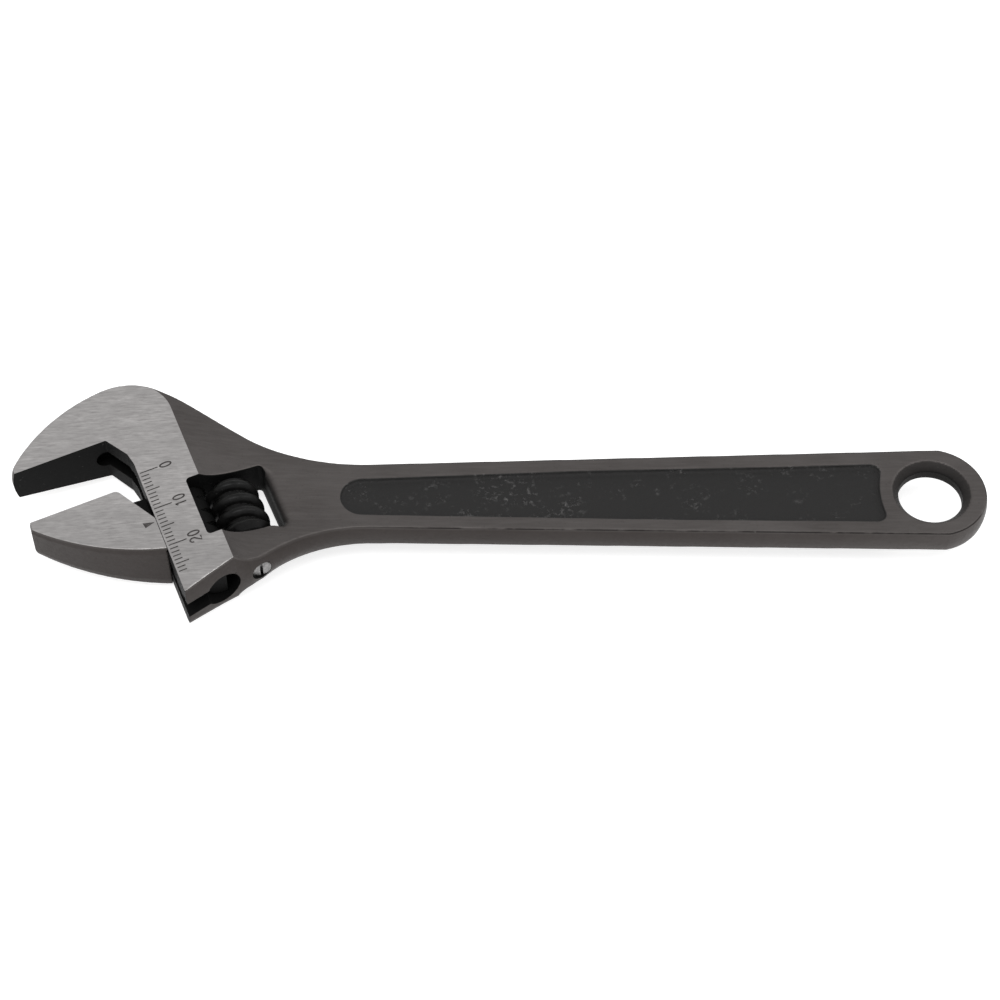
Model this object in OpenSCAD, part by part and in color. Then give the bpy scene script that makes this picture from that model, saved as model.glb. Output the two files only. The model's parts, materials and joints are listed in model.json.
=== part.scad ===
// Adjustable wrench: forged body with the fixed jaw, sliding jaw with its rack,
// adjusting worm, slotted worm pin and worm spring.
// Millimetres. Origin at the centre of the hanging hole, half way through the handle.
// +X runs from the head to the tail end, +Z is through the thickness.

/* [Handle] */
// Width of the handle at the hanging hole
handle_w = 23.4; // [21:0.1:25]
// How much the handle narrows for each millimetre towards the head
handle_taper = 0.026; // [0.018:0.001:0.03]
// Thickness of the handle
handle_t = 5.6; // [5.4:0.1:6]
// Radius of the hanging hole at its narrowest
hole_r = 6.7; // [5:0.1:7]
// Radius of the hanging hole where it opens on each face
hole_rim_r = 8.2; // [8:0.1:8.6]
// Depth of the recessed panel on each face
panel_depth = 0.9; // [0.4:0.1:1.2]

/* [Head] */
// Angle between the jaw faces' square and the handle
head_angle = 21.3; // [20:0.1:22.5]
// Thickness of the head at its front face
head_t = 12.4; // [12:0.1:13]
// Half thickness gained for each millimetre back from the front face
head_wedge = 0.094; // [0.08:0.001:0.1]
// Distance from the front face back to the ridge where the ground faces end
ridge_p = 11.5; // [11:0.1:12]
// Width of the slot that guides the sliding jaw
slot_w = 4.3; // [4:0.1:4.6]
// Radius of the bore that guides the rack bar
bore_r = 3.9; // [3.85:0.05:4.1]

/* [Jaws] */
// Gap between the jaws as drawn
opening = 13.6; // [10:0.1:20]
// Length of the jaw faces ahead of the front face
jaw_reach = 24.3; // [22:0.1:25]

/* [Worm] */
// Outside radius of the worm
worm_r = 5.6; // [5.5:0.05:5.7]
// Depth of the worm's thread
thread_depth = 1.25; // [1.1:0.05:1.3]
// Axial travel for one turn of the worm
lead = 3.65; // [3.6:0.01:3.7]
// Radius of the plain shank of the worm pin
pin_r = 1.5; // [1.3:0.1:1.7]
// Radius of the threaded head of the worm pin
pin_head_r = 2.1; // [2:0.1:2.2]
// Wire diameter of the worm spring
spring_wire = 0.6; // [0.5:0.1:0.7]

/* [Hidden] */
$fn = 96;

steel = "#5c5855";
ground = "#a5a3a5";
black = "#2b2b2c";
bright = "#c9c7c2";

// Head frame: p runs back from the front face, q runs across it towards the opening side.
head_at = [-164.77, 3.36];
fixed_face_q = -11.4;
moving_face_q = fixed_face_q + opening;
end_q = 32.6;
run_clear = 0.05;      // radial clearance of the sliding and turning fits
side_clear = 0.1;      // clearance of the flat sliding faces

// Bore and worm places in the head frame
bore_p = 8.3;
bore_end_q = -14;
slot_end_p = -4.2;
bar_r = bore_r - run_clear;
jaw_heel_q = moving_face_q + 18.75;
bar_start_q = moving_face_q + 1.3;
bar_end_q = moving_face_q + 25.8;
web_t = slot_w - 2 * side_clear;
worm_p = 17.0;
rack_root_p = 10.0;
rack_root_w = 0.6;
rack_mouth_w = 2.7;
relief_q = 25.2;
window_p = [8.55, 24.8];
window_q = [5.4, 20.8];
// The spring holds the worm towards the opening side of its window
worm_q = [window_q[0] + 1.2, window_q[1] - 0.2];
root_r = worm_r - thread_depth;
crest_w = 1.0;         // width of the flat top of a thread ridge
foot_w = 2.3;          // width of a thread ridge at its root
ridge_q = 8.6;         // a crest passes here on the worm's upper side
spring_r = 2.5;
spring_pocket_r = 3.0;
spring_pocket_len = 4;
pin_end_q = 2.0;
pin_out_q = 28.1;

// Point of the head frame, given in the object's own frame
function hp(p, q) = [
    head_at[0] + p * cos(head_angle) + q * sin(head_angle),
    head_at[1] + p * sin(head_angle) - q * cos(head_angle)
];

// Points of an arc from a to b whose middle stands rise to the left of the chord
function bow(a, b, rise, steps = 16) =
    let (
        chord = norm(b - a),
        along = (b - a) / chord,
        left = [-along[1], along[0]],
        r = (chord * chord / 4 + rise * rise) / (2 * abs(rise)),
        side = rise > 0 ? 1 : -1,
        mid = (a + b) / 2 + left * (rise - side * r),
        half = 2 * atan(2 * abs(rise) / chord)
    )
    [for (i = [0:steps])
        let (t = half * (2 * i / steps - 1))
        mid + r * (along * sin(t) + left * side * cos(t))];

// Turns head frame outline points into points of the object's frame
function heads(points) = [for (v = points) hp(v[0], v[1])];

// Half width of the handle at x
function half_w(x) = (handle_w / 2) + handle_taper * x;

// Outline of the body, counter-clockwise from the tail
body_outline = concat(
    bow([2.5, -half_w(2.5) + 0.3], [2.5, half_w(2.5) - 0.3], -9.35, 32),
    bow([-117, half_w(-117)], hp(25.4, -2.6), 1.85),
    bow(hp(25.4, -2.6), hp(9.9, -21), -0.5, 8),
    heads(bow([9.9, -21], [-1, -25.15], 1.32, 8)),
    heads(bow([-1, -25.15], [-23.5, -13.9], 2.35)),
    heads([[-jaw_reach, -12.7], [-jaw_reach, fixed_face_q], [-3.7, fixed_face_q]]),
    heads([[-0.6, -6], [0, -3], [0, end_q], [11.8, 29.1], [14.6, 29.2]]),
    bow(hp(17.4, 28.8), [-117.5, -half_w(-117.5)], 2.07)
);

// Outline of the sliding jaw's working end, in the head frame
jaw_outline = concat(
    [[-jaw_reach, moving_face_q], [-5.3, moving_face_q], [-side_clear, moving_face_q + 10]],
    bow([-side_clear, jaw_heel_q], [-jaw_reach - 0.3, moving_face_q + 2.1], -2.05)
);

// Outline of the web that joins the working end to the rack bar
web_outline = [
    [-4.2, bar_start_q], [bore_p, bar_start_q], [bore_p, bar_end_q], [0.3, bar_end_q],
    [0.3, jaw_heel_q], [-1, jaw_heel_q], [-4.2, jaw_heel_q - 6]
];

// Half thickness of the wedge shaped head at p
function wedge(p) = head_t / 2 + head_wedge * p;

// Upper profile of the body along p: ground wedge, ridge, hollow neck, handle
upper_profile = concat(
    [[-40, wedge(-40)]],
    bow([ridge_p, wedge(ridge_p)], [20, 4.4], -0.6, 8),
    [[26, 3.5], [36, 3.05], [50, handle_t / 2], [240, handle_t / 2]]
);

module at_head() {
    translate([head_at[0], head_at[1], 0]) rotate([0, 0, head_angle]) children();
}

// Lies a cylinder along q, from one q to another
module along_q(p, q0, q1, r) {
    translate([p, -q0, 0]) rotate([90, 0, 0]) cylinder(h = q1 - q0, r = r);
}

// Everything between the two thickness profiles
module envelope() {
    at_head() rotate([90, 0, 0]) linear_extrude(height = 240, center = true)
        polygon(concat(
            upper_profile,
            [for (i = [len(upper_profile) - 1:-1:0]) [upper_profile[i][0], -upper_profile[i][1]]]
        ));
}

// Everything inside the wedge of the ground faces
module wedge_envelope() {
    rotate([90, 0, 0]) linear_extrude(height = 120, center = true)
        polygon([
            [-40, -wedge(-40)], [ridge_p, -wedge(ridge_p)], [ridge_p, wedge(ridge_p)], [-40, wedge(-40)]
        ]);
}

// Recessed panel outline along the handle
panel_outline = concat(
    bow([-118.9, 4.3], [-118.9, -4.9], -4, 24),
    [[-53, -6.8], [-13.5, -7.5]],
    bow([-9.9, -6.1], [-9.9, 5.8], 1.2, 12),
    [[-13.5, 7.2], [-31, 6.75], [-73, 6.05]]
);

module panel() {
    for (side = [0, 1]) mirror([0, 0, side])
        translate([0, 0, handle_t / 2 - panel_depth]) linear_extrude(height = 6)
            polygon(panel_outline);
}

// Hanging hole: a short straight land between two flared mouths
module hanging_hole() {
    land = 1.2;
    edge = handle_t / 2;
    rotate_extrude() polygon([
        [0, -edge - 1], [hole_rim_r + 0.4, -edge - 1], [hole_rim_r, -edge], [hole_r, -land],
        [hole_r, land], [hole_rim_r, edge], [hole_rim_r + 0.4, edge + 1], [0, edge + 1]
    ]);
}

module window() {
    translate([window_p[0], -window_q[1], -10])
        cube([window_p[1] - window_p[0], window_q[1] - window_q[0], 20]);
}

// Slot through the front face, with a round end that breaks out at the jaw's root
module guide_slot() {
    translate([slot_end_p, -end_q - 2, -slot_w / 2])
        cube([bore_p - slot_end_p, end_q + 2 - bore_end_q, slot_w]);
    along_q(slot_end_p, bore_end_q, 0, slot_w / 2);
}

module body() {
    color(steel) difference() {
        intersection() {
            translate([0, 0, -10]) linear_extrude(height = 20) polygon(body_outline);
            envelope();
        }
        at_head() {
            window();
            along_q(bore_p, bore_end_q, end_q + 2, bore_r);
            guide_slot();
            along_q(worm_p, pin_end_q, window_q[0] + 1, pin_r + run_clear);
            along_q(worm_p, window_q[1] - 1, end_q, pin_head_r + run_clear);
        }
        panel();
        hanging_hole();
    }
}

// One straight rack tooth space, leaning with the worm's lead
module tooth_space() {
    lean = atan(lead / (2 * PI * worm_r));
    mouth_p = worm_p - root_r + 0.25;
    rotate([lean, 0, 0]) translate([0, 0, -5]) linear_extrude(height = 10)
        polygon([
            [rack_root_p, rack_root_w / 2], [mouth_p, rack_mouth_w / 2],
            [mouth_p, -rack_mouth_w / 2], [rack_root_p, -rack_root_w / 2]
        ]);
}

// Flat at the bar's end, past the last tooth
module bar_relief() {
    translate([rack_root_p - 0.4, -bar_end_q - 1, -5]) cube([5, bar_end_q + 1 - relief_q, 10]);
}

module sliding_jaw() {
    // A thread crest meets the rack a quarter turn past the worm's upper side
    mesh_q = ridge_q - lead / 4;
    color(ground) at_head() difference() {
        union() {
            intersection() {
                translate([0, 0, -10]) linear_extrude(height = 20)
                    polygon([for (v = jaw_outline) [v[0], -v[1]]]);
                wedge_envelope();
            }
            translate([0, 0, -web_t / 2]) linear_extrude(height = web_t)
                polygon([for (v = web_outline) [v[0], -v[1]]]);
            along_q(bore_p, bar_start_q, bar_end_q, bar_r);
        }
        for (i = [-1:5]) translate([0, -(mesh_q + i * lead), 0]) tooth_space();
        bar_relief();
    }
}

// Points of the thread ridge's section: radius and place along the worm
thread_steps = 30;
turns = 5.75;
thread_section = [
    [root_r - 0.4, -foot_w / 2], [root_r + 0.1, -foot_w / 2], [worm_r - 0.25, -crest_w / 2 - 0.1],
    [worm_r, -crest_w / 4], [worm_r, crest_w / 4], [worm_r - 0.25, crest_w / 2 + 0.1],
    [root_r + 0.1, foot_w / 2], [root_r - 0.4, foot_w / 2]
];

// Left-handed thread ridge, swept along the worm's own z
module thread_ridge() {
    n = len(thread_section);
    rings = round(turns * thread_steps);
    points = [for (i = [0:rings], s = thread_section)
        let (turn = i * 360 / thread_steps)
        [s[0] * cos(turn), s[0] * sin(turn), s[1] - lead * turn / 360]];
    sides = [for (i = [0:rings - 1], k = [0:n - 1])
        [i * n + k, i * n + (k + 1) % n, (i + 1) * n + (k + 1) % n, (i + 1) * n + k]];
    first_cap = [[for (k = [n - 1:-1:0]) k]];
    last_cap = [[for (k = [0:n - 1]) rings * n + k]];
    polyhedron(points, concat(sides, first_cap, last_cap), convexity = 8);
}

module adjusting_worm() {
    length = worm_q[1] - worm_q[0];
    // The sweep starts on the worm's back side, three quarters of a turn before a crest
    first_q = ridge_q - 1.75 * lead;
    color(black) at_head() translate([worm_p, -worm_q[1], 0]) rotate([-90, 0, 0]) difference() {
        union() {
            cylinder(h = length, r = root_r);
            intersection() {
                cylinder(h = length, r = worm_r + 1);
                translate([0, 0, worm_q[1] - first_q]) thread_ridge();
            }
        }
        translate([0, 0, -1]) cylinder(h = length + 2, r = pin_r + run_clear);
        translate([0, 0, length - spring_pocket_len]) cylinder(h = spring_pocket_len + 1, r = spring_pocket_r);
    }
}

module worm_pin() {
    slot = 0.6;
    color(bright) at_head() difference() {
        union() {
            along_q(worm_p, pin_end_q + 0.2, window_q[1] + 0.1, pin_r);
            along_q(worm_p, window_q[1] + 0.1, pin_out_q, pin_head_r);
        }
        translate([worm_p - slot / 2, -pin_out_q - 1, -3]) cube([slot, 2, 6]);
    }
}

// Coil of round wire around the pin, in the worm's pocket
module worm_spring() {
    coils = 4;
    steps = 20;
    sides = 8;
    first_q = window_q[0] + spring_wire / 2 + 0.02;
    pitch = (spring_pocket_len + worm_q[0] - window_q[0] - spring_wire - 0.04) / coils;
    rings = coils * steps;
    points = [for (i = [0:rings], k = [0:sides - 1])
        let (turn = i * 360 / steps, around = k * 360 / sides)
        let (r = spring_r + spring_wire / 2 * (cos(around) - 1))
        [r * cos(turn), r * sin(turn), pitch * i / steps + spring_wire / 2 * sin(around)]];
    faces = [for (i = [0:rings - 1], k = [0:sides - 1])
        [i * sides + k, i * sides + (k + 1) % sides, (i + 1) * sides + (k + 1) % sides, (i + 1) * sides + k]];
    first_cap = [[for (k = [sides - 1:-1:0]) k]];
    last_cap = [[for (k = [0:sides - 1]) rings * sides + k]];
    color(bright) at_head() translate([worm_p, -first_q, 0]) rotate([90, 0, 0])
        polyhedron(points, concat(faces, first_cap, last_cap), convexity = 6);
}

body();
sliding_jaw();
adjusting_worm();
worm_pin();
worm_spring();
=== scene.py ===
"""Adjustable wrench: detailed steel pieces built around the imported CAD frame.

Shapes are described in millimetres as distance fields, turned into meshes and scaled to metres.
The frame's origin is the centre of the hanging hole. +X points to the tail and +Z up through the
thickness. In the head's own frame, p runs back from the front face and q runs across it to the
opening side.
"""

import json
import math

import bpy
import numpy as np
from mathutils import Matrix, Vector


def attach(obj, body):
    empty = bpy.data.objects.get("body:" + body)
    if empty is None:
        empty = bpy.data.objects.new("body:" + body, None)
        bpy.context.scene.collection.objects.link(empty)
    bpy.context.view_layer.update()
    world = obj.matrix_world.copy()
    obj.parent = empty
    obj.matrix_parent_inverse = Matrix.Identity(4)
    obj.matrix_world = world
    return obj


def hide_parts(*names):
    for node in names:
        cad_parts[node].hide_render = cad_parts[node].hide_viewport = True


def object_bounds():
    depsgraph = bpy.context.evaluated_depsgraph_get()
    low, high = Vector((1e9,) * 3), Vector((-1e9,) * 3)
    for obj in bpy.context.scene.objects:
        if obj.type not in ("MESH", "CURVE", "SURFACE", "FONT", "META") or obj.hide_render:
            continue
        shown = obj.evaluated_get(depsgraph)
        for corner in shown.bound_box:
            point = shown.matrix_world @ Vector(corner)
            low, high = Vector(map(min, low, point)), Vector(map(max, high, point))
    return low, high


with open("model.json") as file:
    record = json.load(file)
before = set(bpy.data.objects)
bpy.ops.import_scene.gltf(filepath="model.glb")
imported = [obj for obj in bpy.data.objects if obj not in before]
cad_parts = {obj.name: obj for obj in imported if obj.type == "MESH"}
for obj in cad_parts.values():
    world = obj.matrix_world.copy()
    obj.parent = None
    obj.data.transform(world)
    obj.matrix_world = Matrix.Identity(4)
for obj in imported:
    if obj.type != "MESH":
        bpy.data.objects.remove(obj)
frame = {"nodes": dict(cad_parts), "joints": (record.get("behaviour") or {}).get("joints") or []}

cad_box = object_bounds()

MM = 0.001                 # metres in a millimetre

# Head frame, from the CAD joints
joints = {j["name"]: j for j in frame["joints"]}
SLIDE = Vector(joints["jaw_slide"]["axis"])
COS_A, SIN_A = -SLIDE.y, SLIDE.x
HEAD_AT = (-164.77, 3.36)

# Handle and tail
HANDLE_W, TAPER = 23.4, 0.026
HANDLE_H = 2.8             # half thickness of the handle
HANDLE_END_X = (-117, -117.5)  # where its straight edges end, on the crown and opening sides
HOLE_R, HOLE_RIM_R = 6.7, 8.2
HOLE_LAND = 0.9            # half height of the hole's straight part
FLARE_POWER, FLARE_LIMIT = 1.2, 1.5  # how the hole widens from there to its rim
PANEL_DEPTH = 0.85
PANEL_WALL = 0.8           # steepness of the panel's walls
TAIL_X, TAIL_REACH, TAIL_INSET = 2.5, 9.3, 0.3

# Head
HEAD_H, WEDGE = 6.19, 0.093  # half thickness at the front face, and what it gains back along p
RIDGE_P = 11.5
RIDGE_BEND, RIDGE_BEND_Q = 0.05, -14  # how fast the ridge curves forward, and from where
NECK_DOME = 1.2            # how much fuller the neck is than the handle, on the crown side
NECK_DOME_LOSS = 0.7       # share of that which is lost towards the opening side
NECK_FALL = 3.3            # distance over which the hollow neck falls away
NECK_SLOPE = 0.27          # slope of the straight neck on the crown side
JAW_REACH = 24.3
FIXED_Q, MOVING_Q = -11.4, 2.2
SLOT_W, SLOT_END_P = 4.3, -4.2
BORE_P, BORE_R, BORE_END_Q = 8.3, 3.9, -14.0
WINDOW_P, WINDOW_Q = (8.55, 24.8), (5.4, 20.8)
WINDOW_CORNER_R, WINDOW_DRAFT = 0.9, 0.4

# Sliding jaw
THROAT_P = -5.3            # where the throat leaves the jaw face
THROAT_RUN, THROAT_RISE = 10.0, 5.2
JAW_INSET = 0.25           # how far the machined faces' own outline lies inside the jaw's
JAW_GAP, BAR_GAP = 0.1, 0.12  # running gaps along the head and slot, and round the bar
WEB_Q = (1.3, 25.8)        # ends of the web and bar, from the jaw face
WEB_STEP_Q = (12.75, 17.8)  # where the web's front steps back, from the jaw face
WEB_FRONT_P = (SLOT_END_P, -1.0, 0.3)

# Worm and rack
WORM_P, WORM_R, THREAD_DEPTH, LEAD = 17.0, 5.6, 1.4, 3.65
WORM_Q = (6.6, 20.6)
CREST_Q = 8.6              # a crest passes here on the worm's upper side
RIDGE_TURNS = 0.35         # half the width of a ridge at its foot, in turns
RIDGE_POWERS = (2.2, 0.6)  # exponents of a ridge's rounded profile, at its crest and foot
RACK_ROOT_P, RACK_DEPTH, RACK_POWER = 9.6, 3.0, 1.2
RACK_TEETH_END = 5         # the bar is plain past this many turns
PIN_R, PIN_HEAD_R = 1.5, 2.1
PIN_GAP, PIN_SEAT_Q = 0.08, 12

# How far the flanks draw in towards both faces: on the handle, more on the neck, less on the head
# and less again at its open end
HANDLE_DRAW, NECK_DRAW, HEAD_DRAW, END_DRAW = 0.4, 0.75, 0.5, 0.4
JAW_DRAW = 0.5
DRAW_LIMIT = 1.3

# Widths of the bands over which creases are rounded
EDGE_BAND = 0.12
NECK_EDGE_BAND = 0.25      # added behind the ridge
END_EDGE_BAND = 2.4        # added under the head's open end
PANEL_FLOOR_BAND, PANEL_EDGE_BAND = 0.7, 0.3
HOLE_EDGE_BAND = 0.25
NECK_BAND = 1.2
WINDOW_EDGE_BAND, WINDOW_WALL_BAND, WINDOW_SIDE_BAND = 0.02, 2.4, 0.4
THROAT_BAND, JAW_EDGE_BAND, BAR_END_BAND = 0.9, 0.2, 0.3

# Slopes that bring sloping surfaces' distances near their true size
BODY_FACE_SLOPE, JAW_FACE_SLOPE, HOLE_SLOPE, RACK_SLOPE = 0.95, 0.97, 0.85, 0.6

# Vertex marks
MARK_EDGE = 0.04           # how softly the machined faces' colour ends
HOLE_MARK_GAP, JAW_MARK_GAP = 0.12, 0.35  # how far inside their edges two of them start


# ---------------------------------------------------------------- outlines

def hp(p, q):
    """Point of the head frame, in the object's own frame."""
    return (HEAD_AT[0] + p * COS_A + q * SIN_A, HEAD_AT[1] + p * SIN_A - q * COS_A)


def to_pq(x, y):
    """Head frame coordinates of points of the object's frame."""
    dx, dy = x - HEAD_AT[0], y - HEAD_AT[1]
    return dx * COS_A + dy * SIN_A, dx * SIN_A - dy * COS_A


def bow(a, b, rise, steps=16):
    """Arc from a to b whose middle stands rise to the left of the chord."""
    a, b = np.array(a, float), np.array(b, float)
    chord = np.linalg.norm(b - a)
    along = (b - a) / chord
    left = np.array([-along[1], along[0]])
    radius = (chord * chord / 4 + rise * rise) / (2 * abs(rise))
    side = 1 if rise > 0 else -1
    middle = (a + b) / 2 + left * (rise - side * radius)
    half = 2 * math.atan(2 * abs(rise) / chord)
    return [
        tuple(middle + radius * (along * math.sin(t) + left * side * math.cos(t)))
        for t in half * np.linspace(-1, 1, steps + 1)
    ]


def heads(points):
    """Points of the head frame, in the object's own frame."""
    return [hp(p, q) for p, q in points]


def half_w(x):
    """Half width of the tapered handle."""
    return HANDLE_W / 2 + TAPER * x


TAIL_Y = half_w(TAIL_X) - TAIL_INSET
BODY_OUTLINE = (
    bow((TAIL_X, -TAIL_Y), (TAIL_X, TAIL_Y), -TAIL_REACH, 40)
    + bow((HANDLE_END_X[0], half_w(HANDLE_END_X[0])), hp(25.4, -2.6), 1.85)
    + bow(hp(25.4, -2.6), hp(9.9, -21), -0.5, 8)
    + heads(bow((9.9, -21), (-1, -25.15), 1.32, 12))
    + heads(bow((-1, -25.15), (-23.5, -13.9), 2.35, 24))
    + heads([(-JAW_REACH, -12.7), (-JAW_REACH, 0), (-6, 34.4), (11.8, 29.1), (14.6, 29.2)])
    + bow(hp(17.4, 28.8), (HANDLE_END_X[1], -half_w(HANDLE_END_X[1])), 2.07)
)
MOUTH_OUTLINE = heads([(-60, FIXED_Q), (-3.7, FIXED_Q), (-0.6, -6), (0, -3), (0, 70), (-60, 70)])
PANEL_OUTLINE = (
    bow((-118.9, 4.3), (-118.9, -4.9), -4.0, 24)
    + [(-53, -6.8)]
    + bow((-9.5, -7.65), (-9.5, 7.35), 1.3, 16)
    + [(-31, 6.75), (-73, 6.05)]
)
PANEL_CORNER_R = 1.8
JAW_OUTLINE = (
    [(12, 25)]
    + bow((-0.1, 20.95), (-24.6, 4.3), -2.05, 32)
    + [(-JAW_REACH, 1), (-JAW_REACH, -3), (12, -3)]
)


# ---------------------------------------------------------------- distance fields

def smooth(t):
    """Soft step: 0 below 0, 1 above 1."""
    t = np.clip(t, 0, 1)
    return t * t * (3 - 2 * t)


def fade(v, start, end):
    """Soft step of v, from 0 at start to 1 at end."""
    return smooth((v - start) / (end - start))


def smax(a, b, k):
    """Larger of a and b, with the crease between them rounded over a band of width k."""
    h = np.maximum(k - np.abs(a - b), 0) / k
    return np.maximum(a, b) + h * h * k * 0.25


class Outline:
    """Signed distance to a closed outline, negative inside, sampled on a fine grid."""

    STEP = 0.25

    def __init__(self, points, low, high):
        self.low = np.array(low, float)
        size = np.ceil((np.array(high, float) - self.low) / self.STEP).astype(int) + 1
        x = self.low[0] + self.STEP * np.arange(size[0])[:, None]
        y = self.low[1] + self.STEP * np.arange(size[1])[None, :]
        best = np.full((size[0], size[1]), 1e9)
        inside = np.zeros(best.shape, bool)
        for (ax, ay), (bx, by) in zip(points, points[1:] + points[:1]):
            ex, ey = bx - ax, by - ay
            t = np.clip(((x - ax) * ex + (y - ay) * ey) / max(ex * ex + ey * ey, 1e-12), 0, 1)
            best = np.minimum(best, (x - ax - t * ex) ** 2 + (y - ay - t * ey) ** 2)
            if ay != by:
                inside ^= ((ay > y) != (by > y)) & (x < ex * (y - ay) / (by - ay) + ax)
        self.grid = np.where(inside, -1, 1) * np.sqrt(best)

    def rounded(self, r):
        """Rounds the outline's outer corners to radius r."""
        inset = self.grid + r
        # Where the outline's inset copy crosses the grid's lines, in steps
        i, j = np.argwhere((inset[:-1] < 0) != (inset[1:] < 0)).T
        down = np.stack([i + inset[i, j] / (inset[i, j] - inset[i + 1, j]), j], 1)
        i, j = np.argwhere((inset[:, :-1] < 0) != (inset[:, 1:] < 0)).T
        across = np.stack([i, j + inset[i, j] / (inset[i, j] - inset[i, j + 1])], 1)
        rim = np.concatenate([down, across])
        for row, old in enumerate(self.grid):
            near = rim[np.abs(rim[:, 0] - row) * self.STEP < 3 * r + 2]
            if len(near):
                gap = np.hypot(near[:, :1] - row, near[:, 1:] - np.arange(len(old)))
                far = gap.min(0) * self.STEP - r
                self.grid[row] = np.where(inset[row] > 0, np.maximum(far, old), old)
        return self

    def __call__(self, x, y):
        """Distance at each point, interpolated between the grid's four nearest."""
        u = np.clip((x - self.low[0]) / self.STEP, 0, self.grid.shape[0] - 1.001)
        v = np.clip((y - self.low[1]) / self.STEP, 0, self.grid.shape[1] - 1.001)
        i, j = u.astype(int), v.astype(int)
        u, v = u - i, v - j
        g = self.grid
        return (
            (g[i, j] * (1 - u) + g[i + 1, j] * u) * (1 - v)
            + (g[i, j + 1] * (1 - u) + g[i + 1, j + 1] * u) * v
        )


def rounded_box(u, v, half_u, half_v, r):
    """Distance to a rectangle with rounded corners, centred on zero."""
    du, dv = np.abs(u) - half_u + r, np.abs(v) - half_v + r
    return np.hypot(np.maximum(du, 0), np.maximum(dv, 0)) + np.minimum(np.maximum(du, dv), 0) - r


def ground_half(p):
    """Half thickness inside the ground faces' wedge."""
    return HEAD_H + WEDGE * p


def ridge_at(q):
    """Where the ground face ends along p; it curves forward at the crown."""
    return RIDGE_P - RIDGE_BEND * np.maximum(RIDGE_BEND_Q - q, 0) ** 2


def neck_half(p, q):
    """Half thickness of the forged neck and handle, falling away behind the ridge."""
    past = np.maximum(p - ridge_at(q), 0)
    ridge = ground_half(ridge_at(q))
    base = HANDLE_H + NECK_DOME * (1 - fade(p, 24, 48)) * (1 - NECK_DOME_LOSS * fade(q, 4, 24))
    hollow = base + (ridge - base) * np.exp(-past / NECK_FALL)
    slope = smax(ridge - NECK_SLOPE * past, base, NECK_BAND)
    return slope + (hollow - slope) * fade(q, -6, 8)


def draw_in(az, half):
    """Share of a flank's draw at height az: none at half thickness, full at both faces."""
    return np.minimum((az / half) ** 2, DRAW_LIMIT)


def body_parts(x, y, z):
    """Distances of the body: its flat faces, its sides, each cut, and the whole."""
    p, q = to_pq(x, y)
    az = np.abs(z)
    neck = np.minimum(neck_half(p, q), ground_half(p))
    half = np.where(p < ridge_at(q), ground_half(p), neck)
    top = (az - half) * BODY_FACE_SLOPE
    # The flanks are crowned: fullest half way through, drawn in towards both faces
    open_end = fade(q, 24, 28) * fade(p, 22, 8)
    draw = HANDLE_DRAW + NECK_DRAW * fade(x, -118, -140) - HEAD_DRAW * fade(x, -146, -160)
    draw = draw - END_DRAW * open_end
    side = outline_body(x, y) + draw * draw_in(az, half)
    band = EDGE_BAND + NECK_EDGE_BAND * fade(p, RIDGE_P, RIDGE_P + 5)
    band = band + END_EDGE_BAND * smooth(-z) * open_end
    shell = smax(top, side, band)
    mouth = outline_mouth(x, y)
    window_end = WINDOW_P[1] - WINDOW_DRAFT * fade(z, 0, -3)
    window = rounded_box(
        p - (WINDOW_P[0] + window_end) / 2,
        q - sum(WINDOW_Q) / 2,
        (window_end - WINDOW_P[0]) / 2,
        (WINDOW_Q[1] - WINDOW_Q[0]) / 2,
        WINDOW_CORNER_R,
    )
    # On the upper face the window's far wall is blended widely, its crown side a little
    far_wall = WINDOW_WALL_BAND * fade(p, 21.5, 24.5) * fade(q, 5, 9)
    crown_wall = WINDOW_SIDE_BAND * fade(q, 8, 6) * fade(p, 11, 13)
    window_edge = WINDOW_EDGE_BAND + smooth(z) * np.maximum(far_wall, crown_wall)
    bore = np.maximum(np.hypot(p - BORE_P, z) - BORE_R, BORE_END_Q - q)
    slot_p = np.clip(p, SLOT_END_P, BORE_P)
    slot = np.maximum(np.hypot(p - slot_p, z) - SLOT_W / 2, BORE_END_Q - q)
    pin = np.maximum(np.hypot(p - WORM_P, z) - PIN_HEAD_R - PIN_GAP, PIN_SEAT_Q - q)
    hollow = np.minimum(np.minimum(window, bore), np.minimum(slot, pin))
    flare = np.clip((az - HOLE_LAND) / (HANDLE_H - HOLE_LAND), 0, FLARE_LIMIT) ** FLARE_POWER
    hole = (np.hypot(x, y) - HOLE_R - (HOLE_RIM_R - HOLE_R) * flare) * HOLE_SLOPE
    panel = smax(outline_panel(x, y) * PANEL_WALL, half - PANEL_DEPTH - az, PANEL_FLOOR_BAND)
    whole = smax(shell, -panel, PANEL_EDGE_BAND)
    whole = smax(whole, -hole, HOLE_EDGE_BAND)
    whole = smax(whole, -window, window_edge)
    whole = np.maximum(whole, -np.minimum(mouth, hollow))
    return {
        "p": p, "q": q, "top": top, "side": side, "shell": shell, "mouth": mouth, "hollow": hollow,
        "hole": hole, "panel": panel, "window_edge": window_edge, "whole": whole,
    }


def thread(turn):
    """Height of the worm's thread from 0 at the root to 1 at the crest, by turns from a crest."""
    off = np.abs(turn - np.round(turn))
    crest, foot = RIDGE_POWERS
    return np.clip(1 - (off / RIDGE_TURNS) ** crest, 0, 1) ** foot


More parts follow.
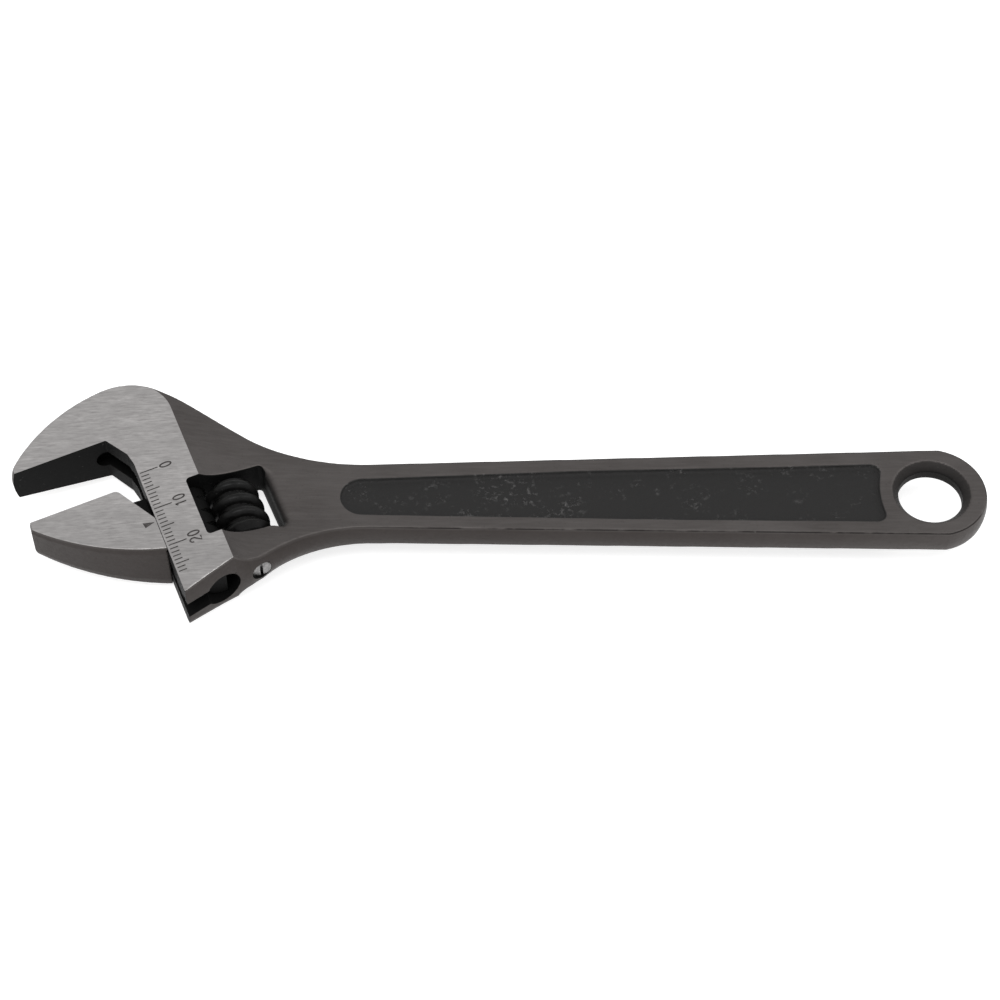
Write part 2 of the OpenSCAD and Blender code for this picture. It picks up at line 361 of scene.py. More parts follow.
def jaw_parts(p, q, z):
    """Distances of the sliding jaw, in the head frame."""
    az = np.abs(z)
    top = (az - ground_half(p)) * JAW_FACE_SLOPE
    side = outline_jaw(p, q) + JAW_DRAW * draw_in(az, ground_half(p))
    # Machined faces: the jaw face, the throat and the face that slides along the head
    throat = (MOVING_Q - q) * THROAT_RISE + (p - THROAT_P) * THROAT_RUN
    throat = throat / math.hypot(THROAT_RISE, THROAT_RUN)
    faces = np.maximum(smax(MOVING_Q - q, throat, THROAT_BAND), p + JAW_GAP)
    shell = smax(top, side, EDGE_BAND)
    block = np.maximum(shell, smax(faces, outline_jaw(p, q) + JAW_INSET, JAW_EDGE_BAND))
    # The web fills the slot, and the bar with its rack fills the bore
    steps = [q < MOVING_Q + step for step in WEB_STEP_Q]
    front = np.select(steps, WEB_FRONT_P[:2], WEB_FRONT_P[2])
    ends = np.maximum(MOVING_Q + WEB_Q[0] - q, q - MOVING_Q - WEB_Q[1])
    web = np.maximum(az - SLOT_W / 2 + JAW_GAP, np.maximum(front - p, p - BORE_P))
    web = np.maximum(web, ends)
    bar = smax(np.hypot(p - BORE_P, z) - BORE_R + BAR_GAP, ends, BAR_END_BAND)
    turn = (q - (CREST_Q - LEAD / 4)) / LEAD - z / (2 * math.pi * WORM_R)
    off = np.where(turn < RACK_TEETH_END, np.abs(turn - np.round(turn)), 0)
    rack = p - (RACK_ROOT_P + RACK_DEPTH * (off / RIDGE_TURNS) ** RACK_POWER)
    inner = np.minimum(web, np.maximum(bar, rack * RACK_SLOPE))
    return {
        "top": top, "side": side, "shell": shell, "faces": faces, "block": block,
        "inner": inner, "whole": np.minimum(block, inner),
    }


# ---------------------------------------------------------------- meshing

ROOT_STEPS = 3             # steps of false position that place a point on a grid edge
CREASE_PULL = 0.03         # how strongly a vertex is held near the middle of its cell's points


def contour(field, axes):
    """Dual contouring of field's zero surface on a grid with the three given axes.

    A point is found on each grid edge that crosses the surface, and each cell's vertex settles
    where the planes at its points meet, so creases stay crisp. Returns vertices and triangles.
    """
    shape = [len(a) for a in axes]
    grid = field(*[m.ravel() for m in np.meshgrid(*axes, indexing="ij")]).reshape(shape)
    cells = [n - 1 for n in shape]
    below = grid < 0
    points, normals, corners, flips = [], [], [], []
    for axis in range(3):
        near = [slice(None)] * 3
        far = [slice(None)] * 3
        near[axis], far[axis] = slice(0, -1), slice(1, None)
        change = below[tuple(near)] != below[tuple(far)]
        index = np.argwhere(change)
        others = [a for a in range(3) if a != axis]
        keep = np.all([(index[:, a] > 0) & (index[:, a] < cells[a]) for a in others], axis=0)
        index = index[keep]
        ahead = index.copy()
        ahead[:, axis] += 1
        low = np.stack([axes[a][index[:, a]] for a in range(3)], 1)
        high = np.stack([axes[a][ahead[:, a]] for a in range(3)], 1)
        d_low, d_high = grid[tuple(index.T)], grid[tuple(ahead.T)]
        for _ in range(ROOT_STEPS):
            t = (d_low / (d_low - d_high))[:, None]
            at = low + (high - low) * t
            d_at = field(*at.T)
            same = (d_at < 0) == (d_low < 0)
            low[same], d_low[same] = at[same], d_at[same]
            high[~same], d_high[~same] = at[~same], d_at[~same]
        points.append(at)
        normals.append(gradient(field, at))
        u, v = others
        step_u, step_v = np.zeros(3, int), np.zeros(3, int)
        step_u[u], step_v[v] = 1, 1
        around = [index - step_u - step_v, index - step_v, index, index - step_u]
        corners.append(np.stack([np.ravel_multi_index(c.T, cells) for c in around], 1))
        inward = below[tuple(index.T)]
        flips.append(~inward if axis != 1 else inward)
    points, normals = np.concatenate(points), np.concatenate(normals)
    corners, flips = np.concatenate(corners), np.concatenate(flips)

    used, where = np.unique(corners.ravel(), return_inverse=True)
    where = where.reshape(corners.shape)
    count = len(used)

    def gather(values):
        return np.bincount(where.ravel(), np.repeat(values, 4), count)

    share = gather(np.ones(len(points)))
    mean = np.stack([gather(points[:, a]) for a in range(3)], 1) / share[:, None]
    matrix = np.zeros((count, 3, 3))
    for a in range(3):
        for b in range(3):
            matrix[:, a, b] = gather(normals[:, a] * normals[:, b])
    plane = (normals * points).sum(1)
    target = np.stack([gather(normals[:, a] * plane) for a in range(3)], 1)
    target -= np.einsum("nab,nb->na", matrix, mean)
    matrix += np.eye(3) * (CREASE_PULL * share)[:, None, None]
    vertices = mean + np.linalg.solve(matrix, target[:, :, None])[:, :, 0]
    cell = np.stack(np.unravel_index(used, cells), 1)
    for a in range(3):
        vertices[:, a] = np.clip(vertices[:, a], axes[a][cell[:, a]], axes[a][cell[:, a] + 1])

    quads = where.copy()
    quads[flips] = quads[flips][:, ::-1]
    # Split each quad along the diagonal that lies closer to the surface
    corner = vertices[quads]
    one = np.abs(field(*((corner[:, 0] + corner[:, 2]) / 2).T))
    two = np.abs(field(*((corner[:, 1] + corner[:, 3]) / 2).T))
    first = (one <= two + 1e-6)[:, None]
    triangles = np.concatenate([
        np.where(first, quads[:, [0, 1, 2]], quads[:, [0, 1, 3]]),
        np.where(first, quads[:, [0, 2, 3]], quads[:, [1, 2, 3]]),
    ])
    return vertices, triangles


def gradient(field, at, step=0.01):
    """Unit normals of field at the given points."""
    offsets = np.eye(3) * step
    g = np.stack([field(*(at + o).T) - field(*(at - o).T) for o in offsets], 1)
    return g / np.maximum(np.linalg.norm(g, axis=1), 1e-9)[:, None]


def add_mesh(name, vertices, faces, sharp_deg=0):
    """Smooth mesh object from millimetre vertices. With sharp_deg, sharper creases stay crisp."""
    mesh = bpy.data.meshes.new(name)
    mesh.vertices.add(len(vertices))
    mesh.vertices.foreach_set("co", (np.asarray(vertices) * MM).astype(np.float32).ravel())
    faces = np.asarray(faces)
    sides = faces.shape[1]
    mesh.loops.add(faces.size)
    mesh.loops.foreach_set("vertex_index", faces.ravel().astype(np.int32))
    mesh.polygons.add(len(faces))
    mesh.polygons.foreach_set("loop_start", np.arange(0, faces.size, sides, dtype=np.int32))
    mesh.update(calc_edges=True)
    mesh.shade_smooth()
    if sharp_deg:
        mesh.set_sharp_from_angle(angle=math.radians(sharp_deg))
    piece = bpy.data.objects.new(name, mesh)
    bpy.context.scene.collection.objects.link(piece)
    return piece


def shade_by_field(piece, field, vertices, triangles):
    """Gives each triangle corner the field's own normal, read just inside that triangle."""
    corner = vertices[triangles]
    middle = corner.mean(1, keepdims=True)
    inside = (corner * 0.8 + middle * 0.2).reshape(-1, 3)
    piece.data.normals_split_custom_set(gradient(field, inside, 0.02))


def mark(piece, name, values):
    """Stores one number per vertex on a piece, for its material to read."""
    layer = piece.data.attributes.new(name, "FLOAT", "POINT")
    layer.data.foreach_set("value", np.asarray(values, np.float32))


def spaced(*stretches):
    """Grid axis from stretches of (start, end, step), each starting where the last ended."""
    parts = [np.arange(a, b - step / 2, step) for a, b, step in stretches]
    return np.concatenate(parts + [[stretches[-1][1]]])


# ---------------------------------------------------------------- pieces

def make_body():
    """The body's forging, finer at the head and the tail than along the handle."""
    axes = [
        spaced((-193.2, -118, 0.36), (-118, -14, 0.8), (-14, 13.2, 0.4)),
        spaced((-30, 30.2, 0.36)),
        spaced((-7.91, 7.99, 0.36)),
    ]

    def field(x, y, z):
        return body_parts(x, y, z)["whole"]

    vertices, triangles = contour(field, axes)
    piece = add_mesh("body_forging", vertices, triangles)
    shade_by_field(piece, field, vertices, triangles)
    d = body_parts(*vertices.T)
    cuts = -np.minimum(d["mouth"], d["hollow"]) - d["shell"]
    ground = np.minimum(d["top"] - d["side"], ridge_at(d["q"]) - d["p"])
    mark(piece, "ground", np.minimum(ground, -cuts))
    # Painted shade: the window's soft far wall and the hanging hole take more of the machined
    # black with depth
    depth = -d["shell"]
    soft_wall = fade(d["window_edge"], 0.4, 1.9)
    wall_shade = MARK_EDGE * (2 * fade(depth, 0.1, 2.1) - 1)
    cuts = cuts * (1 - soft_wall) + wall_shade * soft_wall
    # Painted shade inside the hanging hole, darker with depth
    flare = MARK_EDGE * (0.2 + 0.5 * fade(depth, 0, 2.5))
    hole = np.minimum(depth - d["hole"] - HOLE_MARK_GAP, flare)
    mark(piece, "machined_and_shade", np.maximum(cuts, hole))
    mark(piece, "panel", -d["panel"] - d["shell"])
    mark(piece, "side", d["side"] - d["top"])
    return piece


def make_jaw():
    """The sliding jaw's forging, meshed in the head frame and then placed."""
    axes = [
        spaced((-25.6, 13.6, 0.3)),
        spaced((1.0, 29.2, 0.3)),
        spaced((-6.41, 6.49, 0.3)),
    ]

    def field(p, q, z):
        return jaw_parts(p, q, z)["whole"]

    vertices, triangles = contour(field, axes)
    d = jaw_parts(*vertices.T)
    x, y = hp(vertices[:, 0], vertices[:, 1])
    # The head frame's q runs against the object's handedness, so the faces turn over
    placed = np.stack([x, y, vertices[:, 2]], 1)
    triangles = triangles[:, ::-1]
    piece = add_mesh("sliding_jaw_forging", placed, triangles)

    def placed_field(x, y, z):
        return field(*to_pq(x, y), z)

    shade_by_field(piece, placed_field, placed, triangles)
    inner = d["block"] - d["inner"]
    faces = d["faces"] - d["shell"]
    mark(piece, "ground", np.minimum(np.minimum(d["top"] - d["side"], -faces), -inner))
    mark(piece, "machined_and_shade", np.maximum(faces - JAW_MARK_GAP, inner))
    # The jaw has no panel
    mark(piece, "panel", np.full(len(vertices), -1.0))
    mark(piece, "side", d["side"] - d["top"])
    return piece


WORM_CHAMFER = 1.3
WORM_BORE_R, POCKET_R, POCKET_LEN = PIN_R + 0.05, 3.0, 4.0
MOUTH_BEVEL = 0.2          # at the mouths of the bore and the pocket


def make_worm():
    """Worm swept as rings: left-handed rounded ridges, chamfered ends, bore and spring pocket."""
    around, along = 144, 210    # points on each ring, and rings
    turn = np.linspace(0, 1, around, endpoint=False)
    q = np.linspace(WORM_Q[0], WORM_Q[1], along)
    grid_q, grid_turn = np.meshgrid(q, turn, indexing="ij")
    height = thread((grid_q - CREST_Q) / LEAD + grid_turn - 0.25)
    radius = WORM_R - THREAD_DEPTH * (1 - height)
    from_end = np.minimum(grid_q - WORM_Q[0], WORM_Q[1] - grid_q)
    radius = np.minimum(radius, WORM_R - WORM_CHAMFER + from_end)
    inner = [
        (WORM_Q[1], WORM_BORE_R + MOUTH_BEVEL),
        (WORM_Q[1] - MOUTH_BEVEL, WORM_BORE_R),
        (WORM_Q[0] + POCKET_LEN, WORM_BORE_R),
        (WORM_Q[0] + POCKET_LEN, POCKET_R),
        (WORM_Q[0] + MOUTH_BEVEL, POCKET_R),
        (WORM_Q[0], POCKET_R + MOUTH_BEVEL),
    ]
    rings = [(grid_q[i], radius[i]) for i in range(along)]
    rings += [(np.full(around, a), np.full(around, r)) for a, r in inner]
    angle = 2 * np.pi * turn
    vertices = []
    for ring_q, ring_r in rings:
        p = WORM_P + ring_r * np.cos(angle)
        x, y = hp(p, ring_q)
        vertices.append(np.stack([x, y, ring_r * np.sin(angle)], 1))
    i, k = np.meshgrid(np.arange(len(rings)), np.arange(around), indexing="ij")
    here, ahead, beside = i * around, (i + 1) % len(rings) * around, (k + 1) % around
    faces = np.stack([here + k, here + beside, ahead + beside, ahead + k], -1)
    return add_mesh("worm_wheel", np.concatenate(vertices), faces.reshape(-1, 4), 55)


MARK_LIFT = 0.012          # how far the scale and pointer stand proud of the ground face
TICK_W, STROKE_W = 0.28, 0.36
TICKS = 28
TICK_P = 0.4               # where the ticks start, behind the front face
TEN_LEN, FIVE_LEN, ONE_LEN = 3.85, 2.75, 1.7
DIGIT_P, DIGIT_H, DIGIT_W = 7.1, 2.35, 1.55
DIGIT_PITCH = 1.05         # spacing of a number's digits, in digit widths


def face_strip(points, width, closed=False):
    """Outline and faces of a flat strip of the given width along head frame points."""
    pts = np.array(points, float)
    if closed:
        before, after = np.roll(pts, 1, 0), np.roll(pts, -1, 0)
    else:
        before, after = np.vstack([pts[:1], pts[:-1]]), np.vstack([pts[1:], pts[-1:]])
    way = after - before
    way /= np.linalg.norm(way, axis=1)[:, None]
    off = np.stack([-way[:, 1], way[:, 0]], 1) * width / 2
    rim = np.vstack([pts + off, pts - off])
    n = len(pts)
    last = n if closed else n - 1
    faces = [(k, (k + 1) % n, n + (k + 1) % n, n + k) for k in range(last)]
    return rim, faces


def digit_stroke(digit):
    """Stroke of a plain 0, 1 or 2 in a unit box, and whether it closes on itself."""
    if digit == "0":
        turns = np.linspace(0, 2 * np.pi, 33)[:-1]
        return [(0.5 + 0.33 * math.sin(t), 0.5 + 0.5 * math.cos(t)) for t in turns], True
    if digit == "1":
        return [(0.3, 0.78), (0.55, 1.0), (0.55, 0.0)], False
    turns = np.linspace(0, 1.15 * np.pi, 16)
    arc = [(0.48 - 0.33 * math.cos(t), 0.7 + 0.3 * math.sin(t)) for t in turns]
    return arc + [(0.15, 0.0), (0.86, 0.0)], False


def marks_on_face(name, parts):
    """One thin piece just proud of the upper ground face, from flat parts in the head frame."""
    vertices, faces, base = [], [], 0
    for rim, polygons in parts:
        x, y = hp(rim[:, 0], rim[:, 1])
        vertices.append(np.stack([x, y, ground_half(rim[:, 0]) + MARK_LIFT], 1))
        faces += [tuple(base + k for k in polygon) for polygon in polygons]
        base += len(rim)
    piece = add_mesh(name, np.concatenate(vertices), faces)
    for f in piece.data.polygons:
        if f.normal.z < 0:
            f.flip()
    piece.data.update()
    return piece


def make_scale():
    """Millimetre ticks with 0, 10 and 20 on the head's ground face."""
    parts = []
    for k in range(TICKS):
        length = TEN_LEN if k % 10 == 0 else FIVE_LEN if k % 5 == 0 else ONE_LEN
        parts.append(face_strip([(TICK_P, k), (TICK_P + length, k)], TICK_W))
    for k, text in ((0, "0"), (10, "10"), (20, "20")):
        for n, digit in enumerate(text):
            stroke, closed = digit_stroke(digit)
            start = k + DIGIT_W * DIGIT_PITCH * (len(text) / 2 - n)
            path = [(DIGIT_P - v * DIGIT_H, start - u * DIGIT_W) for u, v in stroke]
            parts.append(face_strip(path, STROKE_W, closed))
    return marks_on_face("jaw_scale", parts)


def make_pointer():
    """Small triangle on the sliding jaw that points at the scale."""
    rim = np.array([(-0.4, 13.2), (-2.85, 12.45), (-2.6, 13.85)])
    return marks_on_face("scale_pointer", [(rim, [(0, 1, 2)])])


# ---------------------------------------------------------------- materials

GRIND_TURN = math.radians(-4)  # direction of the grinding on the ground faces
WORN_MARK_X = 90.0         # how far from the hole the panel's cast mark was, in mm

# Stretches of the object over which a look changes, in metres
# Where the flanks' brown tint and painted shade weaken towards the tail
FLANK_TINT_AND_SHADE_X = (-0.045, 0.0)
SEAM_X = (-0.122, -0.105)
DULL_Y = (-0.018, -0.002)


def grey(value, warm=0.0):
    """Linear grey, tinted warm by the given share."""
    return (value * (1 + warm), value, value * (1 - warm * 0.35))


FORGED_DARK, FORGED_LIGHT, FORGED_STREAK = grey(0.066, 0.10), grey(0.082, 0.09), grey(0.115, 0.08)
# The flanks' colour is a brown tint with painted shade in it
FORGED_PIT, FLANK_BROWN_AND_SHADE = grey(0.035, 0.10), grey(0.031, 0.17)
SEAM_DARK, EDGE_BRIGHT = grey(0.01, 0.1), grey(0.45, 0.03)
GROUND_DARK, GROUND_LIGHT, GROUND_STREAK = grey(0.25, 0.04), grey(0.53, 0.03), grey(0.33, 0.03)
GROUND_DULL, GROUND_SPOT = grey(0.22, 0.03), grey(0.16, 0.12)
# The machined black also paints shade in the window's far wall and the hanging hole
MACHINED_AND_SHADE_BLACK, MACHINED_SPECK = grey(0.006), grey(0.09, 0.05)
PANEL_DARK, PANEL_CHALK = grey(0.034, 0.02), grey(0.16, 0.02)
OXIDE_DARK, OXIDE_LIGHT, OXIDE_SPECK = grey(0.004), grey(0.009, 0.02), grey(0.08, 0.03)
BARE_DARK, BARE_LIGHT = grey(0.12, 0.02), grey(0.30, 0.02)
ETCHED_DARK, ETCHED_WORN = grey(0.03, 0.12), grey(0.11, 0.06)


class Nodes:
    """Small helper that builds one material's node tree."""

    def __init__(self, name):
        self.material = bpy.data.materials.new(name)
        self.material.use_nodes = True
        self.tree = self.material.node_tree
        self.tree.nodes.clear()
        self.shader = self.add("ShaderNodeBsdfPrincipled")
        output = self.add("ShaderNodeOutputMaterial")
        self.link(self.shader.outputs[0], output.inputs[0])
        self.where = self.add("ShaderNodeTexCoord").outputs["Object"]

    def add(self, kind, **settings):
        """New node of a kind, with its settings."""
        node = self.tree.nodes.new(kind)
        for key, value in settings.items():
            setattr(node, key, value)
        return node

    def link(self, source, target):
        """Links an output to a socket."""
        self.tree.links.new(source, target)

    def put(self, value, socket):
        """Links an output to a socket, or sets a plain value on the socket."""
        if isinstance(value, bpy.types.NodeSocket):
            self.link(value, socket)
        else:
            socket.default_value = value

    def math(self, operation, a, b=0.0):
        """Sum, product or the like of outputs and plain numbers."""
        node = self.add("ShaderNodeMath", operation=operation)
        for value, socket in zip((a, b), node.inputs):
            self.put(value, socket)
        return node.outputs[0]

    def times(self, value, *factors):
        """Product of two or more values."""
        for factor in factors:
            value = self.math("MULTIPLY", value, factor)
        return value

    def attribute(self, name):
        """One of the piece's vertex marks."""
        return self.add("ShaderNodeAttribute", attribute_name=name).outputs["Fac"]

    def ramp(self, value, low, high, to_low=0.0, to_high=1.0):
        """Straight change from to_low to to_high as the value goes from low to high."""
        node = self.add("ShaderNodeMapRange")
        for v, socket in zip((value, low, high, to_low, to_high), node.inputs):
            self.put(v, socket)
        return node.outputs[0]

    def noise(self, scale, detail=4.0, roughness=0.6, stretch=(1, 1, 1), turn=0.0, seed=0.0):
        """Noise by size in features per millimetre, optionally stretched and turned about Z."""
        mapping = self.add("ShaderNodeMapping")
        self.link(self.where, mapping.inputs["Vector"])
        mapping.inputs["Rotation"].default_value = (0, 0, turn)
        mapping.inputs["Scale"].default_value = stretch
        mapping.inputs["Location"].default_value = (seed, seed * 0.7, seed * 0.3)
        node = self.add("ShaderNodeTexNoise")
        self.link(mapping.outputs[0], node.inputs["Vector"])
        node.inputs["Scale"].default_value = scale / MM
        node.inputs["Detail"].default_value = detail
        node.inputs["Roughness"].default_value = roughness
        return node.outputs[0]

    def mix(self, factor, a, b):
        """From a to b by factor: a number mix if b is a plain number, else a colour mix."""
        number = isinstance(b, float)
        node = self.add("ShaderNodeMix", data_type="FLOAT" if number else "RGBA")
        self.put(factor, node.inputs[0])
        first = 2 if number else 6
        for value, socket in zip((a, b), (node.inputs[first], node.inputs[first + 1])):
            if isinstance(value, tuple) and len(value) == 3:
                value = (*value, 1.0)
            self.put(value, socket)
        return node.outputs[0 if number else 2]

    def bump(self, height, distance):
        """Bump whose height of 1 stands distance millimetres proud."""
        node = self.add("ShaderNodeBump")
        node.inputs["Strength"].default_value = 1.0
        node.inputs["Distance"].default_value = distance * MM
        self.link(height, node.inputs["Height"])
        self.link(node.outputs[0], self.shader.inputs["Normal"])


def forged_colour(n, fine, side_gap, x):
    """Forged and blasted skin, browner and darker on the flanks: partly a brown tint, partly
    painted shade.
    """
    cloud = n.noise(0.06, 3)
    drawn = n.noise(0.5, 6, 0.7, stretch=(0.25, 2.5, 1), seed=5)
    colour = n.mix(n.ramp(cloud, 0.35, 0.65), FORGED_DARK, FORGED_LIGHT)
    colour = n.mix(n.ramp(drawn, 0.4, 0.7, 0.0, 0.35), colour, FORGED_STREAK)
    colour = n.mix(n.ramp(fine, 0.6, 0.75, 0.0, 0.3), colour, FORGED_PIT)
    # Brown tint and painted shade on the flanks, weaker towards the tail
    flank_tint_and_shade = n.times(n.ramp(side_gap, -0.1, 0.6), n.ramp(x, *FLANK_TINT_AND_SHADE_X, 0.8, 0.45))
    colour = n.mix(flank_tint_and_shade, colour, FLANK_BROWN_AND_SHADE)
    # Dark seam where the handle's face was trimmed
    edge_gap = n.math("ABSOLUTE", side_gap)
    seam = n.times(n.ramp(edge_gap, 0.05, 0.28, 1.0, 0.0), n.ramp(x, *SEAM_X))
    broken = n.ramp(n.noise(0.15, 4, 0.6, seed=31), 0.36, 0.5)
    colour = n.mix(n.times(seam, broken, 0.85), colour, SEAM_DARK)
    # Worn bright metal along the edges
    nicks = n.ramp(n.noise(0.35, 5, 0.7, seed=9), 0.66, 0.73)
    edge = n.ramp(edge_gap, 0.05, 0.4, 1.0, 0.0)
    return n.mix(n.times(edge, nicks, 0.8), colour, EDGE_BRIGHT)


def ground_colour(n, scratch, y):
    """Ground faces: long fine scratches, duller towards the opening side, with dark spots."""
    broad = n.noise(0.2, 5, 0.65, stretch=(0.3, 1.6, 1), turn=GRIND_TURN, seed=2)
    colour = n.mix(n.ramp(scratch, 0.3, 0.7), GROUND_DARK, GROUND_LIGHT)
    colour = n.mix(n.ramp(broad, 0.35, 0.7, 0.0, 0.6), colour, GROUND_STREAK)
    colour = n.mix(n.ramp(y, *DULL_Y, 0.33, 0.0), colour, GROUND_DULL)
    spots = n.ramp(n.noise(0.9, 4, 0.7, seed=12), 0.66, 0.72)
    return n.mix(n.times(spots, 0.4), colour, GROUND_SPOT)


def machined_and_shade_colour(n):
    """Blackened machined faces with pale specks, also laid as painted shade in the window's far
    wall and the hanging hole.
    """
    specks = n.ramp(n.noise(1.1, 3, 0.6, seed=7), 0.68, 0.76)
    return n.mix(n.times(specks, 0.4), MACHINED_AND_SHADE_BLACK, MACHINED_SPECK)


def panel_chalk(n, x):
    """How chalky the rough panel is: most where a cast mark has worn away."""
    middle = n.math("ABSOLUTE", n.math("ADD", x, WORN_MARK_X * MM))
    worn = n.ramp(middle, 0.004, 0.022, 0.12, 0.0)
    area = n.ramp(n.math("ADD", n.noise(0.16, 3, 0.6, seed=15), worn), 0.52, 0.68)
    return n.times(area, n.ramp(n.noise(0.9, 5, 0.75, seed=17), 0.52, 0.64))


def steel_material():
    """Forged steel with ground faces, blackened machined faces and a rough dark panel, with
    painted shade on the flanks, the window's far wall and the hanging hole.
    """
    n = Nodes("wrench_steel")
    # Each vertex mark is a distance in mm, positive inside its region
    ground = n.ramp(n.attribute("ground"), -0.03, 0.03)
    machined_and_shade = n.ramp(n.attribute("machined_and_shade"), -MARK_EDGE, MARK_EDGE)
    panel = n.ramp(n.attribute("panel"), -0.2, 0.08)
    split = n.add("ShaderNodeSeparateXYZ")
    n.link(n.where, split.inputs[0])
    x, y = split.outputs[0], split.outputs[1]
    fine = n.noise(1.3, 5, 0.65, seed=3)
    scratch = n.noise(1.5, 8, 0.75, stretch=(0.2, 1.6, 1), turn=GRIND_TURN, seed=1)
    chalk = panel_chalk(n, x)

    colour = forged_colour(n, fine, n.attribute("side"), x)
    colour = n.mix(ground, colour, ground_colour(n, scratch, y))
    colour = n.mix(panel, colour, n.mix(n.times(chalk, 0.9), PANEL_DARK, PANEL_CHALK))
    # Machined black; where it deepens in the window's far wall and the hanging hole it is painted
    # shade
    colour = n.mix(machined_and_shade, colour, machined_and_shade_colour(n))
    n.link(colour, n.shader.inputs["Base Color"])

    forged_rough = n.ramp(fine, 0.3, 0.7, 0.42, 0.55)
    ground_rough = n.ramp(scratch, 0.3, 0.7, 0.33, 0.45)
    roughness = n.mix(ground, forged_rough, ground_rough)
    roughness = n.mix(panel, roughness, 0.62)
    n.link(n.mix(machined_and_shade, roughness, 0.6), n.shader.inputs["Roughness"])
    metal = n.mix(ground, 0.75, 1.0)
    metal = n.mix(panel, metal, 0.35)
    n.link(n.mix(machined_and_shade, metal, 0.2), n.shader.inputs["Metallic"])
    n.shader.inputs["Specular IOR Level"].default_value = 0.08

    # Height in mm: blasted skin, fine lines on the ground faces, pits in the panel
    skin = n.times(n.math("ADD", fine, n.times(n.noise(3.0, 5, 0.7), 0.4)), 0.03)
    pits = n.math("SUBTRACT", n.noise(0.8, 5, 0.7, seed=21), n.times(chalk, 0.6))
    height = n.mix(ground, skin, n.times(scratch, 0.012))
    n.bump(n.math("ADD", height, n.times(panel, n.times(pits, 0.25))), 1.0)
    return n.material


def black_material():
    """Blackened, lightly oiled worm."""
    n = Nodes("black_oxide")
    cloud = n.noise(0.5, 4, 0.6)
    specks = n.ramp(n.noise(1.6, 3, 0.6, seed=4), 0.66, 0.75, 0.0, 0.5)
    colour = n.mix(n.ramp(cloud, 0.35, 0.65), OXIDE_DARK, OXIDE_LIGHT)
    n.link(n.mix(specks, colour, OXIDE_SPECK), n.shader.inputs["Base Color"])
    n.link(n.ramp(cloud, 0.3, 0.7, 0.28, 0.42), n.shader.inputs["Roughness"])
    n.shader.inputs["Metallic"].default_value = 0.2
    n.shader.inputs["Specular IOR Level"].default_value = 0.16
    n.bump(n.noise(1.8, 4, 0.6, seed=6), 0.03)
    return n.material


def bright_material():
    """Bare turned steel of the pin and spring."""
    n = Nodes("bright_turned_steel")
    grain = n.noise(1.5, 5, 0.7, seed=2)
    colour = n.mix(n.ramp(grain, 0.35, 0.65), BARE_DARK, BARE_LIGHT)
    n.link(colour, n.shader.inputs["Base Color"])
    n.link(n.ramp(grain, 0.3, 0.7, 0.28, 0.45), n.shader.inputs["Roughness"])
    n.shader.inputs["Metallic"].default_value = 1.0
    n.bump(grain, 0.03)
    return n.material


def etched_material():
    """Dark etched marks of the scale and its pointer."""
    n = Nodes("etched_mark")
    wear = n.noise(2.0, 4, 0.7)
    colour = n.mix(n.ramp(wear, 0.4, 0.75), ETCHED_DARK, ETCHED_WORN)
    n.link(colour, n.shader.inputs["Base Color"])
    n.link(n.ramp(wear, 0.3, 0.7, 0.5, 0.7), n.shader.inputs["Roughness"])
    n.shader.inputs["Metallic"].default_value = 0.3
    n.shader.inputs["Specular IOR Level"].default_value = 0.25
    return n.material


def floor_material():
    """Plain pale floor that glows a little, so it renders white."""
    n = Nodes("pale_floor")
    n.shader.inputs["Base Color"].default_value = (0.6, 0.6, 0.6, 1)
    n.shader.inputs["Roughness"].default_value = 0.9
    n.shader.inputs["Emission Color"].default_value = (1, 1, 1, 1)
    n.shader.inputs["Emission Strength"].default_value = 0.7
    return n.material


def dress(piece, body, slot, material, *replaced):
    """Gives a piece its material and its place in the frame."""
    piece.data.materials.clear()
    piece.data.materials.append(material)
    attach(piece, body)
    if replaced:
        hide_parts(*replaced)


# ---------------------------------------------------------------- scene

# Outlines with the corners of the area that each is sampled on
outline_body = Outline(BODY_OUTLINE, (-196, -33), (16, 33))
outline_mouth = Outline(MOUTH_OUTLINE, (-196, -33), (16, 33))
outline_panel = Outline(PANEL_OUTLINE, (-130, -12), (-4, 12)).rounded(PANEL_CORNER_R)
outline_jaw = Outline(JAW_OUTLINE, (-28, -1), (15, 31))

steel = steel_material()
black = black_material()
bright = bright_material()
etched = etched_material()

dress(make_body(), "frame", "forged_steel", steel, "body")
dress(make_jaw(), "jaw", "ground_steel", steel, "sliding_jaw")
dress(make_worm(), "worm", "black_steel", black, "adjusting_worm")
dress(make_scale(), "frame", "black_steel", etched)
dress(make_pointer(), "jaw", "black_steel", etched)
for name in ("worm_pin", "worm_spring"):
    node = frame["nodes"][name]
    node.data.materials.clear()
    node.data.materials.append(bright)

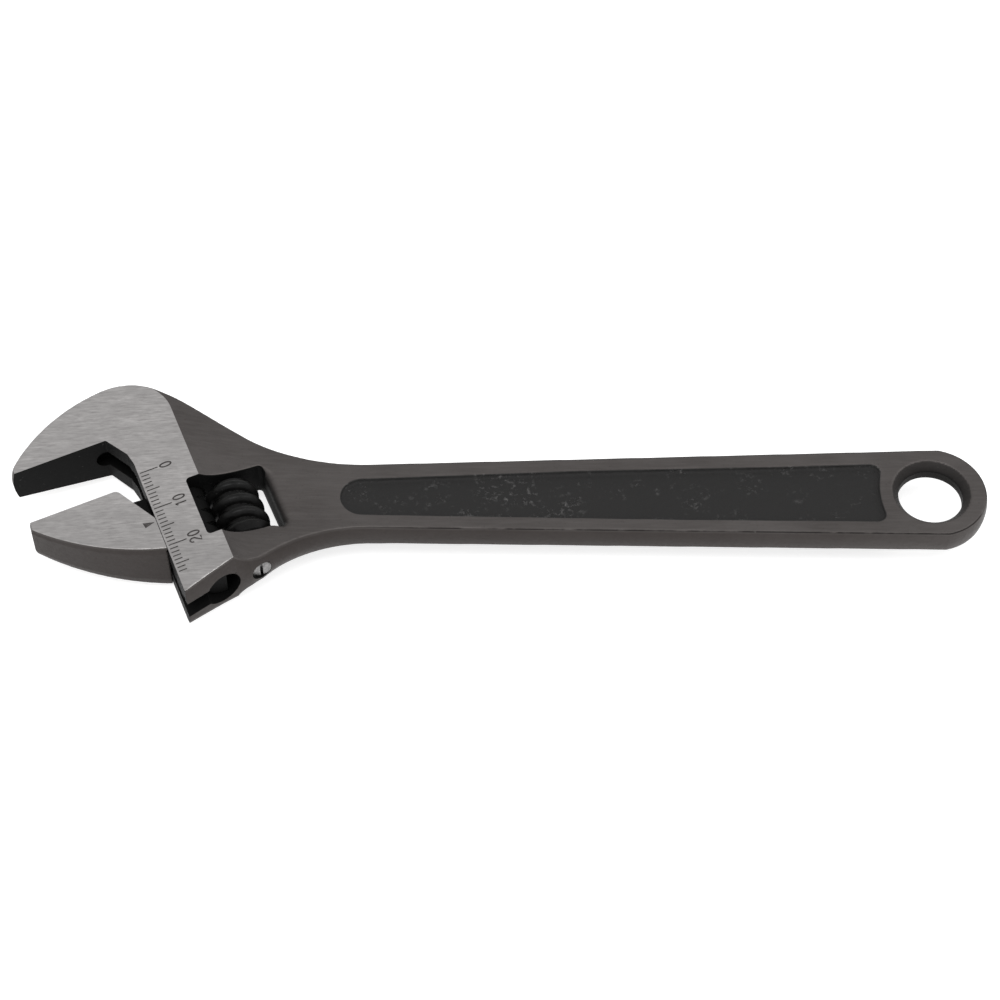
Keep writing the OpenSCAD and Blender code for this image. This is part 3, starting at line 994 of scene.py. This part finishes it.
# Floor and light, in metres
FLOOR_GAP, FLOOR_REACH = 0.0001, 3.0
LIGHT_SIZE = 0.8
LIGHT_TARGET = Vector((-0.09, 0, 0))
WORLD_STRENGTH = 0.8

floor_z = cad_box[0].z - FLOOR_GAP
signs = ((-1, -1), (1, -1), (1, 1), (-1, 1))
corners = [(x * FLOOR_REACH, y * FLOOR_REACH, floor_z) for x, y in signs]
floor = bpy.data.objects.new("floor", bpy.data.meshes.new("floor"))
floor.data.from_pydata(corners, [], [(0, 1, 2, 3)])
floor.data.materials.append(floor_material())
bpy.context.scene.collection.objects.link(floor)


def soft_light(name, place, power):
    """Round soft light that faces the middle of the wrench."""
    lamp = bpy.data.lights.new(name, "AREA")
    lamp.shape, lamp.size, lamp.energy = "DISK", LIGHT_SIZE, power
    holder = bpy.data.objects.new(name, lamp)
    holder.location = place
    holder.rotation_euler = (LIGHT_TARGET - Vector(place)).to_track_quat("-Z", "Y").to_euler()
    bpy.context.scene.collection.objects.link(holder)


soft_light("key", (-0.25, -0.2, 1.2), 5.0)
soft_light("side", (0.7, 0.1, 0.9), 3.0)

world = bpy.data.worlds.new("studio")
world.use_nodes = True
background = world.node_tree.nodes["Background"]
background.inputs[0].default_value = (1, 1, 1, 1)
background.inputs[1].default_value = WORLD_STRENGTH
bpy.context.scene.world = world
bpy.context.scene.view_settings.view_transform = "Standard"

# Camera: seen from the opening side, about 52 degrees above the floor
CAMERA_AT = (-0.0954, -0.3091, 0.4010)
TILT, ROLL_Y, ROLL_Z = (math.radians(v) for v in (37.69, 0.63, 0.40))
LENS = 87.4
camera = bpy.data.objects.new("camera", bpy.data.cameras.new("camera"))
camera.data.lens = LENS
camera.data.clip_start, camera.data.clip_end = 0.01, 20
camera.location = CAMERA_AT
turn = Matrix.Rotation(TILT, 3, "X") @ Matrix.Rotation(-ROLL_Y, 3, "Y")
camera.rotation_euler = (turn @ Matrix.Rotation(-ROLL_Z, 3, "Z")).to_euler()
bpy.context.scene.collection.objects.link(camera)
bpy.context.scene.camera = camera
